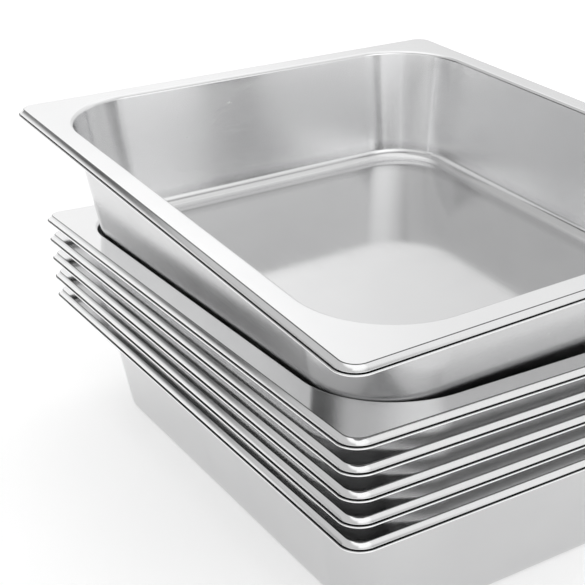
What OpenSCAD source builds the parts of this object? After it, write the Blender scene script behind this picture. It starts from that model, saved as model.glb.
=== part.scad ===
// Set of six half-size steam-table food pans, deep-drawn in stainless sheet.
// Five pans lie nested; the sixth leans in the mouth of the fifth, its near corner lowest.
// Millimetres. +Z is up, +Y runs along the long side of a pan, +X along its short side.
// The origin is the middle of the lowest pan's underside.

/* [Pan] */
// Outside length of the rim
rim_l = 325; // [300:1:354]
// Outside width of the rim
rim_w = 265; // [220:1:325]
// Height from the underside of the floor to the top of the flange
pan_h = 65; // [55:1:110]
// Thickness of the sheet
sheet = 0.7; // [0.6:0.05:0.8]
// Lean of the walls from upright, in degrees
draft = 7.5; // [7:0.1:9]

/* [Mouth and floor] */
// Distance from the rim's outer edge to the line where the wall would meet the flange
wall_inset = 14; // [13:0.1:20]
// Corner radius of the walls at the flange
mouth_r = 42; // [30:1:50]
// Radius of the shoulder between wall and flange, on the food side
shoulder_r = 3; // [2:0.1:4]
// Radius between wall and floor, on the food side
floor_r = 7; // [5:0.5:12]

/* [Rim] */
// Corner radius of the rim's outer edge
rim_corner_r = 10; // [8:0.5:16]
// Width of the sloping band outside the flange
band_w = 2.7; // [2:0.1:3.5]
// Drop of the sloping band
band_drop = 1.8; // [1:0.1:2.5]
// Height of the upright lip under the band
lip_h = 2; // [1:0.1:2.5]

/* [Stack] */
// Height from one nested pan to the next
nest_pitch = 10.9; // [10:0.1:14]
// Place of the leaning pan's flange centre, above the fifth pan's flange centre
lean_place = [-6.5, -5.1, 51.6]; // [-60:0.1:60]
// Turn of the leaning pan about X, Y and Z, in degrees
lean_turn = [5.3, -2.3, 0.7]; // [-10:0.1:10]

/* [Hidden] */
$fn = 96;
steel = [0.80, 0.81, 0.82];
nested_count = 5;
half_w = rim_w / 2;
half_l = rim_l / 2;
// Half sizes of the food space where the walls would meet the flange
mouth_hw = half_w - wall_inset;
mouth_hl = half_l - wall_inset;
// Places of the upright axes that the wall corners turn about
corner_x = mouth_hw - mouth_r;
corner_y = mouth_hl - mouth_r;
// Places of the upright axes that the rim corners turn about
rim_x = half_w - rim_corner_r;
rim_y = half_l - rim_corner_r;
// Centre of the floor edge's arcs and of the shoulder's arcs, seen in the wall section,
// whose x counts outwards from the upright axis of a wall corner
edge_z = sheet + floor_r;
edge_x = mouth_r - (pan_h - edge_z) * tan(draft) - floor_r / cos(draft);
turn_z = pan_h - shoulder_r;
turn_x = mouth_r - shoulder_r * tan(draft) + shoulder_r / cos(draft);
// Where the flat flange ends and the rim's formed edge begins, inwards from the outer edge
flange_in = band_w + sheet / 2;
// Reach of the cutting wedges, longer than any radius of the wall section
reach = 20;

// Part of a flat ring between two angles less than 180 degrees apart
module ring_part(r_in, r_out, from, to) {
    middle = (from + to) / 2;
    intersection() {
        difference() {
            circle(r = r_out);
            circle(r = r_in);
        }
        polygon([
            [0, 0],
            [reach * cos(from), reach * sin(from)],
            [reach * cos(middle), reach * sin(middle)],
            [reach * cos(to), reach * sin(to)]
        ]);
    }
}

// Section of the sheet from a corner's upright axis, along the floor, up the leaning wall
// and over the shoulder to the start of the flange
module wall_section() {
    lean_x = cos(draft);
    lean_z = sin(draft);
    skin_r = floor_r + sheet;
    under_r = shoulder_r - sheet;
    square([edge_x, sheet]);
    translate([edge_x, edge_z]) ring_part(floor_r, skin_r, -90, -draft);
    polygon([
        [edge_x + floor_r * lean_x, edge_z - floor_r * lean_z],
        [edge_x + skin_r * lean_x, edge_z - skin_r * lean_z],
        [turn_x - under_r * lean_x, turn_z + under_r * lean_z],
        [turn_x - shoulder_r * lean_x, turn_z + shoulder_r * lean_z]
    ]);
    translate([turn_x, turn_z]) ring_part(under_r, shoulder_r, 90, 180 - draft);
}

// Section of the rim outside the flange: x counts outwards from the rim corner's axis.
// The sheet slopes down, then turns upright into a short lip with a round lower edge.
module rim_section() {
    out = rim_corner_r;
    knee = pan_h - band_drop;
    foot = knee - lip_h + sheet / 2;
    polygon([
        [out - flange_in, pan_h],
        [out - band_w, pan_h],
        [out, knee],
        [out, foot],
        [out - sheet, foot],
        [out - sheet, knee - sheet / 3],
        [out - band_w - sheet / 3, pan_h - sheet],
        [out - flange_in, pan_h - sheet]
    ]);
    translate([out - sheet / 2, foot])
        intersection() {
            circle(r = sheet / 2);
            translate([-sheet, -sheet]) square([2 * sheet, sheet]);
        }
}

// Carries a section round a rectangle of upright axes: four straight runs, four quarter turns
module round_about(axis_x, axis_y) {
    for (side = [0, 180])
        rotate([0, 0, side]) {
            translate([axis_x, 0, 0])
                rotate([90, 0, 0])
                    linear_extrude(height = 2 * axis_y, center = true) children();
            translate([0, axis_y, 0])
                rotate([90, 0, 90])
                    linear_extrude(height = 2 * axis_x, center = true) children();
            translate([axis_x, axis_y, 0]) rotate_extrude(angle = 90) children();
            translate([-axis_x, axis_y, 0])
                rotate([0, 0, 90]) rotate_extrude(angle = 90) children();
        }
}

// Flat rectangle with rounded corners about the given axes
module rounded_plate(axis_x, axis_y, r) {
    square([2 * axis_x + 2 * r, 2 * axis_y], center = true);
    for (side = [0, 180])
        rotate(side) {
            translate([-axis_x, axis_y]) square([2 * axis_x, r]);
            for (turn = [0, 90])
                translate([turn == 0 ? axis_x : -axis_x, axis_y])
                    rotate(turn)
                        intersection() {
                            circle(r = r);
                            square([r, r]);
                        }
        }
}

// Flat flange between the shoulder and the rim's formed edge
module flange() {
    translate([0, 0, pan_h - sheet])
        linear_extrude(height = sheet)
            difference() {
                rounded_plate(rim_x, rim_y, rim_corner_r - flange_in);
                rounded_plate(corner_x, corner_y, turn_x);
            }
}

// One pan, its underside at z = 0
module pan() {
    translate([-corner_x, -corner_y, 0]) cube([2 * corner_x, 2 * corner_y, sheet]);
    round_about(corner_x, corner_y) wall_section();
    flange();
    round_about(rim_x, rim_y) rim_section();
}

// A nested pan, counted from 1 at the bottom
module nested_pan(level) {
    color(steel) translate([0, 0, (level - 1) * nest_pitch]) pan();
}

// Each pan of the set
module pan_1() { nested_pan(1); }
module pan_2() { nested_pan(2); }
module pan_3() { nested_pan(3); }
module pan_4() { nested_pan(4); }
module pan_5() { nested_pan(5); }
module pan_6() {
    color(steel)
        translate([0, 0, pan_h + (nested_count - 1) * nest_pitch])
            translate(lean_place)
                rotate(lean_turn)
                    translate([0, 0, -pan_h]) pan();
}

pan_1();
pan_2();
pan_3();
pan_4();
pan_5();
pan_6();
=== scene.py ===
"""Six half-size stainless steam-table pans, five nested and the sixth leaning in their mouth.

Each pan is one closed sheet, carried round its rounded rectangle ring by ring, with true normals.
All sizes are in metres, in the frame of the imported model.
"""

import math

import bpy
from mathutils import Euler, Matrix, Vector


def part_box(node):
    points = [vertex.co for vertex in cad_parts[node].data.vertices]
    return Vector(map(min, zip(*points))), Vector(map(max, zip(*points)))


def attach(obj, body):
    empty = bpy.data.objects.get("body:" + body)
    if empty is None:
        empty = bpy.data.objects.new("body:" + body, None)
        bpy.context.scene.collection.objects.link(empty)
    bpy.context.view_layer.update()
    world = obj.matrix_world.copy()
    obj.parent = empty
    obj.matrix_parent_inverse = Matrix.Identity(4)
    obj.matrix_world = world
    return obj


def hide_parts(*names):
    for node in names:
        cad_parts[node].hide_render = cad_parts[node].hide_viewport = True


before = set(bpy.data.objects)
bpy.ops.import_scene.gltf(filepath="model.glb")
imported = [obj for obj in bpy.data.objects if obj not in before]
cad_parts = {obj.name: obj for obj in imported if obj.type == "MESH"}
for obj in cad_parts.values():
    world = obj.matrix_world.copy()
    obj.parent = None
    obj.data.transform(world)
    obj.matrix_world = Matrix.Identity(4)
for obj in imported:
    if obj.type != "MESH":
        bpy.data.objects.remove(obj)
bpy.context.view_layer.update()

MM = 0.001

# Outer sizes of a pan and the step from one to the next in the nest, to 0.1 mm, from the frame
HALF_W, HALF_L, PAN_H = (round(size, 4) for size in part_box("pan_1")[1])
NEST_PITCH = round(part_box("pan_2")[0].z, 4)
NESTED = 5

# The rest of a pan's sizes: the CAD's, but for a slightly tighter shoulder
SHEET = 0.7 * MM
DRAFT = math.radians(7.5)
MOUTH_R = 42.0 * MM
WALL_INSET = 14.0 * MM
SHOULDER_R = 2.0 * MM
FLOOR_R = 7.0 * MM
RIM_R = 10.0 * MM

# How far the middle of the leaning pan's flange is from that of the one below, and its turn
LEAN_PLACE = Vector((-6.5, -5.1, 51.6)) * MM
LEAN_TURN = (math.radians(5.3), math.radians(-2.3), math.radians(0.7))

# Places of the upright axes that the wall corners and the rim corners turn about
WALL_AXIS = (HALF_W - WALL_INSET - MOUTH_R, HALF_L - WALL_INSET - MOUTH_R)
RIM_AXIS = (HALF_W - RIM_R, HALF_L - RIM_R)

# Steps in a quarter turn of the pan's outline, and in the arcs of its section
ARC_STEPS = 28
FLOOR_STEPS = 12
SHOULDER_STEPS = 10
UNDER_STEPS = 8

# Where the formed edge of the rim begins, inwards from its outer edge
FORMED_EDGE = 3.16 * MM
# Shares of the wall's height that carry a ring of points, inside and outside
INSIDE_RINGS = (0.08, 0.3, 0.6, 0.92)
OUTSIDE_RINGS = (0.08, 0.4, 0.7, 0.92)
# Rings on the flat of the floor: a distance from its axis, and a share of the way to its edge
FLOOR_MIDDLE = 2 * MM
FLOOR_SHARE = 0.75

# How much painted shade darkens each part of the skin's colour, standing in for the shade in
# creases, under the rim, on the outside and on the inside floor: 0 is the clean steel of the
# inside walls and the flange, 1 is black
FLOOR_PAINTED_SHADE = 0.16
OUTSIDE_PAINTED_SHADE = 0.28
UNDER_RIM_PAINTED_SHADE = 0.58
GROOVE_PAINTED_SHADE = 0.93


# ---------------------------------------------------------------- section of the sheet
# A section point is (upright axis, distance out from it, height, direction of the normal in
# degrees from upright, how much wall it is, how much edge it is, how much painted shade
# darkens it).


def bend(
    points, axis, centre, radius, start, end, steps, wall=0.0, edge=0.0, painted_shade=0.0, side=1, first=0
):
    """Adds an arc whose normals turn from start to end degrees; side is -1 where it's hollow.

    first is 1 where the arc's own first point is there already.
    """
    for i in range(first, steps + 1):
        turn = math.radians(start + (end - start) * i / steps)
        out = centre[0] + side * radius * math.sin(turn)
        height = centre[1] + side * radius * math.cos(turn)
        points.append((axis, out, height, math.degrees(turn), wall, edge, painted_shade))


def slope(points, axis, start, end, shares, heading, painted_shade=0.0):
    """Adds points along a straight wall, at shares of the way from start to end."""
    for share in shares:
        out = start[0] + (end[0] - start[0]) * share
        height = start[1] + (end[1] - start[1]) * share
        points.append((axis, out, height, heading, 1.0, 0.0, painted_shade))


def run(points, turns):
    """Carries a path on from the last point, by bends and straights.

    A bend is (radius, new heading, steps, edge, painted shade), convex where the heading grows.
    A straight is (None, length, 1, edge, painted shade). Headings are degrees below the
    horizontal.
    """
    axis, out, height, heading = points[-1][:4]
    for radius, value, steps, edge, painted_shade in turns:
        angle = math.radians(heading)
        if radius is None:
            out += value * math.cos(angle)
            height -= value * math.sin(angle)
            points.append((axis, out, height, heading, 0.0, edge, painted_shade))
            continue
        side = 1 if value > heading else -1
        centre = (out - side * radius * math.sin(angle), height - side * radius * math.cos(angle))
        bend(points, axis, centre, radius, heading, value, steps, 0.0, edge, painted_shade, side, 1)
        out, height, heading = points[-1][1], points[-1][2], value


def section():
    """The whole skin, from the middle of the floor's top, over the rim, to its underside."""
    lean = math.degrees(DRAFT)
    skin_r = FLOOR_R + SHEET
    edge_z = SHEET + FLOOR_R
    edge_x = MOUTH_R - (PAN_H - edge_z) * math.tan(DRAFT) - FLOOR_R / math.cos(DRAFT)
    turn_z = PAN_H - SHOULDER_R
    turn_x = MOUTH_R - SHOULDER_R * math.tan(DRAFT) + SHOULDER_R / math.cos(DRAFT)
    points = []
    # food side: floor, floor edge, wall, shoulder; the floor and its edge darkened with painted
    # shade
    for out in (FLOOR_MIDDLE, edge_x * FLOOR_SHARE):
        points.append((WALL_AXIS, out, SHEET, 0, 0.0, 0.0, FLOOR_PAINTED_SHADE))
    bend(
        points, WALL_AXIS, (edge_x, edge_z), FLOOR_R, 0, -90 + lean, FLOOR_STEPS,
        wall=0.5, edge=0.3, painted_shade=FLOOR_PAINTED_SHADE, side=-1,
    )
    low = points[-1][1:3]
    top = (turn_x - SHOULDER_R * math.cos(DRAFT), turn_z + SHOULDER_R * math.sin(DRAFT))
    slope(points, WALL_AXIS, low, top, INSIDE_RINGS, -90 + lean)
    bend(
        points, WALL_AXIS, (turn_x, turn_z), SHOULDER_R, -90 + lean, 0, SHOULDER_STEPS,
        wall=0.5, edge=0.4,
    )
    # flange, up to the formed edge
    points.append((RIM_AXIS, RIM_R - FORMED_EDGE - 1.04 * MM, PAN_H, 0, 0.0, 0.0, 0.0))
    points.append((RIM_AXIS, RIM_R - FORMED_EDGE, PAN_H, 0, 0.0, 0.5, 0.0))
    run(points, [
        # a small step down, its colour darkened almost to black as painted shade in the crease
        (None, 0.05 * MM, 1, 1.0, GROOVE_PAINTED_SHADE),
        (0.20 * MM, 60, 4, 1.0, GROOVE_PAINTED_SHADE),
        (None, 0.06 * MM, 1, 1.0, GROOVE_PAINTED_SHADE),
        (0.25 * MM, 34, 4, 1.0, 0.5),
        # the sloping band, a little crowned, and its lower edge
        (None, 0.06 * MM, 1, 1.0, 0.0),
        (9.1 * MM, 50, 7, 0.6, 0.0),
        (0.22 * MM, 165, 9, 1.0, 0.0),
        # the groove under it, darkened almost to black as painted shade
        (None, 0.12 * MM, 1, 0.2, GROOVE_PAINTED_SHADE),
        (0.10 * MM, 10, 6, 0.0, GROOVE_PAINTED_SHADE),
        (None, 0.80 * MM, 1, 0.8, GROOVE_PAINTED_SHADE),
        # the rounded lip, its turn underneath darkened with painted shade
        (None, 0.04 * MM, 1, 0.8, 0.0),
        (0.35 * MM, 90, 6, 1.0, 0.0),
        (None, 0.12 * MM, 1, 0.8, 0.0),
        (0.30 * MM, 180, 6, 1.0, 0.0),
        (0.30 * MM, 268, 6, 0.6, UNDER_RIM_PAINTED_SHADE),
    ])
    lip_out = points[-1][1]
    # underside of the rim and the flange, darkened with painted shade
    for out, drop, heading in (
        (lip_out - 0.05 * MM, 3.0 * MM, 262),
        (RIM_R - 1.7 * MM, 2.4 * MM, 232),
        (RIM_R - 3.0 * MM, 1.2 * MM, 218),
        (RIM_R - 3.7 * MM, SHEET, 182),
        (RIM_R - 4.4 * MM, SHEET, 180),
    ):
        points.append((RIM_AXIS, out, PAN_H - drop, heading, 0.0, 0.2, UNDER_RIM_PAINTED_SHADE))
    # underside of the shoulder, wall and floor, the outside darkened with painted shade
    bend(
        points, WALL_AXIS, (turn_x, turn_z), SHOULDER_R - SHEET, 180, 90 + lean, UNDER_STEPS,
        wall=0.5, painted_shade=OUTSIDE_PAINTED_SHADE, side=-1,
    )
    low = (edge_x + skin_r * math.cos(DRAFT), edge_z - skin_r * math.sin(DRAFT))
    slope(points, WALL_AXIS, points[-1][1:3], low, OUTSIDE_RINGS, 90 + lean, OUTSIDE_PAINTED_SHADE)
    bend(
        points, WALL_AXIS, (edge_x, edge_z), skin_r, 90 + lean, 180, FLOOR_STEPS,
        wall=0.5, edge=0.4, painted_shade=OUTSIDE_PAINTED_SHADE,
    )
    for out in (edge_x * FLOOR_SHARE, FLOOR_MIDDLE):
        points.append((WALL_AXIS, out, 0.0, 180, 0.0, 0.0, OUTSIDE_PAINTED_SHADE))
    return points


def ring(axis, out):
    """Points and outward directions round a rounded rectangle, anticlockwise from +X."""
    places = []
    for corner, (sx, sy) in enumerate(((1, 1), (-1, 1), (-1, -1), (1, -1))):
        for i in range(ARC_STEPS + 1):
            angle = math.pi / 2 * (corner + i / ARC_STEPS)
            way = (math.cos(angle), math.sin(angle))
            places.append((sx * axis[0] + out * way[0], sy * axis[1] + out * way[1], way))
    return places


def pan_mesh(name):
    """One pan as a closed sheet, its underside at z = 0."""
    points = section()
    reference = ring(WALL_AXIS, MOUTH_R)
    count = len(reference)
    rings = len(points)
    verts, normals = [], []
    # for the finish: place along the sheet, way round the pan, what part of it this is, and its
    # painted shade
    marks = {"grain": [], "flow": [], "wall": [], "edge": [], "painted_shade": []}
    travelled = 0.0
    for k, (axis, out, height, turn, wall, edge, painted_shade) in enumerate(points):
        if k:
            travelled += math.hypot(out - points[k - 1][1], height - points[k - 1][2])
        level, rise = math.sin(math.radians(turn)), math.cos(math.radians(turn))
        for (x, y, way), (rx, ry, _) in zip(ring(axis, out), reference):
            verts.append((x, y, height))
            normals.append((level * way[0], level * way[1], rise))
            marks["grain"].extend((rx, ry, travelled))
            marks["flow"].extend((-way[1], way[0], 0.0))
            marks["wall"].append(wall)
            marks["edge"].append(edge)
            marks["painted_shade"].append(painted_shade)
    faces = [tuple(range(count))]
    for k in range(rings - 1):
        for i in range(count):
            a, b = k * count + i, k * count + (i + 1) % count
            faces.append((a, a + count, b + count, b))
    faces.append(tuple(reversed(range((rings - 1) * count, rings * count))))
    mesh = bpy.data.meshes.new(name)
    mesh.from_pydata(verts, [], faces)
    for mark, values in marks.items():
        if len(values) > len(verts):
            mesh.attributes.new(mark, "FLOAT_VECTOR", "POINT").data.foreach_set("vector", values)
        else:
            mesh.attributes.new(mark, "FLOAT", "POINT").data.foreach_set("value", values)
    mesh.shade_smooth()
    mesh.normals_split_custom_set_from_vertices(normals)
    mesh.validate()
    return mesh


# ---------------------------------------------------------------- materials


class Nodes:
    """A small helper that makes nodes and joins them."""

    def __init__(self, tree):
        tree.nodes.clear()
        self.tree = tree

    def add(self, kind, inputs=None, **settings):
        node = self.tree.nodes.new(kind)
        for key, value in settings.items():
            setattr(node, key, value)
        for key, value in (inputs or {}).items():
            if isinstance(value, bpy.types.NodeSocket):
                self.tree.links.new(value, node.inputs[key])
            else:
                node.inputs[key].default_value = value
        return node

    def math(self, operation, a, b=0.0):
        return self.add("ShaderNodeMath", {0: a, 1: b}, operation=operation).outputs[0]

    def vector_math(self, operation, a, b, output="Vector"):
        return self.add(
            "ShaderNodeVectorMath", {0: a, 1: b}, operation=operation
        ).outputs[output]

    def total(self, *values):
        """The sum of several values."""
        result = values[0]
        for value in values[1:]:
            result = self.math("ADD", result, value)
        return result

    def product(self, *values):
        """Several values multiplied together."""
        result = values[0]
        for value in values[1:]:
            result = self.math("MULTIPLY", result, value)
        return result

    def mix(self, share, a, b):
        """The number a where share is 0, b where it is 1."""
        return self.add("ShaderNodeMix", {0: share, 2: a, 3: b}).outputs[0]

    def mix_colour(self, share, a, b):
        return self.add("ShaderNodeMix", {0: share, 6: a, 7: b}, data_type="RGBA").outputs[2]

    def spread(self, value, low, high, to_low=0.0, to_high=1.0, smooth=False):
        """Maps low..high to to_low..to_high, held at the ends."""
        limits = {"From Min": low, "From Max": high, "To Min": to_low, "To Max": to_high}
        return self.add(
            "ShaderNodeMapRange",
            {"Value": value, **limits},
            interpolation_type="SMOOTHSTEP" if smooth else "LINEAR",
        ).outputs[0]

    def ease(self, value, low, high, to_low=0.0, to_high=1.0):
        """Like spread, with soft ends."""
        return self.spread(value, low, high, to_low, to_high, smooth=True)

    def attribute(self, name, output="Fac"):
        return self.add("ShaderNodeAttribute", attribute_name=name).outputs[output]

    def stretched(self, vector, scale, rotation=(0.0, 0.0, 0.0)):
        return self.add(
            "ShaderNodeMapping", {"Vector": vector, "Scale": scale, "Rotation": rotation}
        ).outputs[0]

    def noise(self, vector, scale, detail=2.0, roughness=0.5):
        return self.add(
            "ShaderNodeTexNoise",
            {"Vector": vector, "Scale": scale, "Detail": detail, "Roughness": roughness},
        ).outputs["Fac"]

    def bump(self, height, distance, strength, normal=None):
        inputs = {"Height": height, "Distance": distance, "Strength": strength}
        if normal:
            inputs["Normal"] = normal
        return self.add("ShaderNodeBump", inputs).outputs[0]


# Noise scales, per metre: polishing lines, draw marks, waves, smudges, scratches, nicks
LINE_SCALE = 1500.0
DRAW_SCALE = 26.0
WAVE_SCALE = 14.0
SMUDGE_SCALE = 34.0
SCRATCH_SCALE = 420.0
NICK_SCALE = 900.0
# Steel colours where it is clean and where it is smudged
CLEAN_STEEL = (0.88, 0.881, 0.884, 1.0)
SMUDGED_STEEL = (0.86, 0.861, 0.866, 1.0)
BLACK = (0.0, 0.0, 0.0, 1.0)
WHITE = (1.0, 1.0, 1.0, 1.0)
# How far each pan's marks are moved against the next one's, per metre between the pans
MARK_SHIFT = (3.1, 5.3, 7.7)


def stainless():
    """Satin stainless: fine polishing lines, soft waves in the sheet, smudges, scuffed edges,
    painted shade.
    """
    material = bpy.data.materials.new("satin_stainless")
    material.use_nodes = True
    n = Nodes(material.node_tree)
    place = n.add("ShaderNodeTexCoord").outputs["Object"]
    where = n.add("ShaderNodeObjectInfo").outputs["Location"]
    shift = n.vector_math("MULTIPLY", where, MARK_SHIFT)
    place = n.vector_math("ADD", place, shift)
    # grain runs round the pan and down its wall; wall and edge say which part this is; the other
    # mark is the painted shade, how much the colour is darkened
    grain = n.vector_math("ADD", n.attribute("grain", "Vector"), shift)
    wall, edge, painted_shade = n.attribute("wall"), n.attribute("edge"), n.attribute("painted_shade")

    # polishing lines run round the wall, and along the pan on the flat
    wall_lines = n.noise(n.stretched(grain, (0.04, 0.04, 1.0)), LINE_SCALE, 3.0, 0.6)
    flat_lines = n.noise(n.stretched(place, (1.0, 0.03, 1.0)), LINE_SCALE, 3.0, 0.6)
    lines = n.mix(wall, flat_lines, wall_lines)
    draw_marks = n.noise(n.stretched(grain, (1.0, 1.0, 0.25)), DRAW_SCALE)
    waves = n.noise(place, WAVE_SCALE, 1.0)
    smudge = n.noise(place, SMUDGE_SCALE, 5.0, 0.6)
    scratch_way = n.stretched(place, (1.0, 0.05, 1.0), (0.3, 0.2, 0.7))
    scratch = n.spread(n.noise(scratch_way, SCRATCH_SCALE), 0.70, 0.74)
    nick = n.product(n.spread(n.noise(place, NICK_SCALE), 0.60, 0.70), edge)

    rough = n.total(
        n.spread(lines, 0.3, 0.7, 0.07, 0.11),
        n.product(wall, 0.11),
        n.spread(smudge, 0.4, 0.75, 0.0, 0.03),
        n.product(scratch, 0.05),
        n.product(nick, 0.08),
    )
    tint = n.mix_colour(n.spread(smudge, 0.35, 0.7), CLEAN_STEEL, SMUDGED_STEEL)
    # painted shade: the steel's colour is darkened towards black, as shade in the creases, under
    # the rim, on the outside and on the inside floor
    tint = n.mix_colour(painted_shade, tint, BLACK)
    relief = n.bump(waves, 0.6 * MM, 0.25)
    relief = n.bump(n.product(draw_marks, wall), 0.2 * MM, 0.05, relief)
    relief = n.bump(lines, 0.01 * MM, 0.1, relief)
    relief = n.bump(n.total(scratch, nick), 0.02 * MM, 0.05, relief)
    shader = n.add(
        "ShaderNodeBsdfPrincipled",
        {
            "Base Color": tint,
            "Metallic": 1.0,
            "Roughness": rough,
            "Anisotropic": n.product(wall, 0.6),
            "Anisotropic Rotation": 0.25,
            "Tangent": n.attribute("flow", "Vector"),
            "Normal": relief,
        },
    )
    n.add("ShaderNodeOutputMaterial", {"Surface": shader.outputs[0]})
    return material


def floor_finish():
    """A white light-table top, which fades out any hard shadow."""
    material = bpy.data.materials.new("light_table")
    material.use_nodes = True
    n = Nodes(material.node_tree)
    place = n.add("ShaderNodeTexCoord").outputs["Object"]
    mottle = n.spread(n.noise(place, 6.0, 3.0), 0.3, 0.7, 0.80, 0.84)
    colour = n.add("ShaderNodeCombineColor", {0: mottle, 1: mottle, 2: mottle}).outputs[0]
    top = n.add("ShaderNodeBsdfDiffuse", {"Color": colour}).outputs[0]
    glow = n.add("ShaderNodeEmission", {"Color": WHITE, "Strength": 0.42}).outputs[0]
    both = n.add("ShaderNodeAddShader", {0: top, 1: glow}).outputs[0]
    n.add("ShaderNodeOutputMaterial", {"Surface": both})
    return material


# ---------------------------------------------------------------- pans


def place_pans(finish):
    """Six pans, each one riding on its own body and standing for its CAD solid."""
    flange = Vector((0, 0, PAN_H + (NESTED - 1) * NEST_PITCH))
    lean = (
        Matrix.Translation(flange + LEAN_PLACE)
        @ Euler(LEAN_TURN, "XYZ").to_matrix().to_4x4()
        @ Matrix.Translation((0, 0, -PAN_H))
    )
    for number in range(1, NESTED + 2):
        node = f"pan_{number}"
        pan = bpy.data.objects.new(f"steel_{node}", pan_mesh(f"steel_{node}"))
        bpy.context.scene.collection.objects.link(pan)
        pan.data.materials.append(finish)
        if number <= NESTED:
            pan.location = (0, 0, (number - 1) * NEST_PITCH)
        else:
            pan.matrix_world = lean
        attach(pan, node)
        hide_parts(node)


# ---------------------------------------------------------------- stage, light and camera

# Where the camera stands and looks, its lens, and the shift that the picture's framing needs
CAMERA_PLACE = Vector((-0.3110, -0.4607, 0.3022))
CAMERA_AIM = Vector((0.5085, 0.7364, -0.4463))
LENS = 70.46
SENSOR = 36.0
FRAME_SHIFT = (-0.2085, 0.1737)
FLOOR_HALF = 12.0
FLOOR_DROP = 0.2 * MM


def make_floor():
    """A wide flat floor just under the lowest pan."""
    half = FLOOR_HALF
    mesh = bpy.data.meshes.new("floor")
    mesh.from_pydata(
        [(-half, -half, 0), (half, -half, 0), (half, half, 0), (-half, half, 0)], [], [(0, 1, 2, 3)]
    )
    floor = bpy.data.objects.new("floor", mesh)
    floor.location.z = -FLOOR_DROP
    bpy.context.scene.collection.objects.link(floor)
    floor.data.materials.append(floor_finish())


# Light levels of the studio's parts
CEILING_LEVEL = 1.12
PANEL_LEVEL = 0.60
STRIP_LEVEL = 0.90
FRONT_LEVEL = 0.80


def make_sky():
    """A white studio: bright behind the pans and above, dim at the sides, dimmest on the left,
    with a low light on the camera's side.

    Every part is a soft patch by direction: depth is 1 straight ahead of the camera and -1
    behind it, side is 1 on its right and -1 on its left, height is 1 straight up.
    """
    world = bpy.data.worlds.new("studio")
    bpy.context.scene.world = world
    world.use_nodes = True
    n = Nodes(world.node_tree)
    way = n.add("ShaderNodeTexCoord").outputs["Generated"]
    ahead = Vector((CAMERA_AIM.x, CAMERA_AIM.y, 0)).normalized()
    right = Vector((ahead.y, -ahead.x, 0))

    def along(axis):
        return n.vector_math("DOT_PRODUCT", way, tuple(axis), "Value")

    height = along((0, 0, 1))
    level_share = n.math("SUBTRACT", 1.0, n.math("POWER", height, 2.0))
    level_share = n.math("SQRT", n.math("MAXIMUM", level_share, 0.001))
    depth = n.math("DIVIDE", along(ahead), level_share)
    side = n.math("DIVIDE", along(right), level_share)

    # the white backdrop behind the pans, out to 40 degrees on the left and 60 on the right,
    # brightest on the left and higher up
    behind = n.ease(depth, -0.05, 0.2)
    left_end = n.ease(side, -0.80, -0.56)
    right_end = n.ease(side, 0.80, 0.97, 1.0, 0.0)
    backdrop = n.product(left_end, right_end, behind)
    tone = n.product(n.ease(side, -0.22, 0.12, 1.13, 0.90), n.ease(height, 0.34, 0.52, 0.88, 1.0))

    # the dimmer sides of the room, light again low down on the left
    sides = n.product(
        n.ease(side, -0.5, 0.6, 0.10, 0.68),
        n.ease(height, 0.48, 0.62, 1.0, 0.65),
    )
    low = n.product(
        n.ease(side, -0.6, 0.5, 0.95, 0.20),
        n.ease(height, 0.30, 0.46, 1.0, 0.0),
        n.ease(depth, 0.20, 0.36),
    )
    # a wide low light on the camera's side, which lights the far inside walls
    front = n.product(
        n.ease(depth, -0.75, -0.25, FRONT_LEVEL, 0.0),
        n.spread(height, 0.0, 0.2, 0.3, 1.0),
        n.ease(height, 0.40, 0.60, 1.0, 0.1),
    )
    level = n.mix(backdrop, n.total(sides, low, front), tone)

    # the ceiling
    level = n.mix(n.ease(height, 0.64, 0.84), level, CEILING_LEVEL)

    # a dimmer panel high on the left, reaching lower down at its left end
    panel_height = n.total(height, n.spread(side, -0.90, -0.80, 0.14, 0.0))
    panel = n.product(
        n.ease(side, -0.38, -0.12, 1.0, 0.0),
        n.ease(panel_height, 0.50, 0.58),
        n.ease(height, 0.80, 0.90, 1.0, 0.0),
    )
    level = n.mix(panel, level, PANEL_LEVEL)

    # a long light along the right
    strip = n.product(
        n.ease(side, 0.72, 0.86),
        n.ease(depth, -0.38, -0.20),
        n.ease(height, 0.42, 0.56),
    )
    level = n.mix(strip, level, STRIP_LEVEL)
    glow = n.add("ShaderNodeBackground", {"Color": WHITE, "Strength": level}).outputs[0]
    n.add("ShaderNodeOutputWorld", {"Surface": glow})


def make_camera():
    """The camera at the photograph's viewing angle."""
    data = bpy.data.cameras.new("camera")
    data.lens = LENS
    data.sensor_width = SENSOR
    data.shift_x, data.shift_y = FRAME_SHIFT
    camera = bpy.data.objects.new("camera", data)
    camera.location = CAMERA_PLACE
    camera.rotation_euler = CAMERA_AIM.to_track_quat("-Z", "Y").to_euler()
    bpy.context.scene.collection.objects.link(camera)
    bpy.context.scene.camera = camera


make_camera()
make_floor()
make_sky()
place_pans(stainless())
bpy.context.scene.view_settings.view_transform = "Standard"
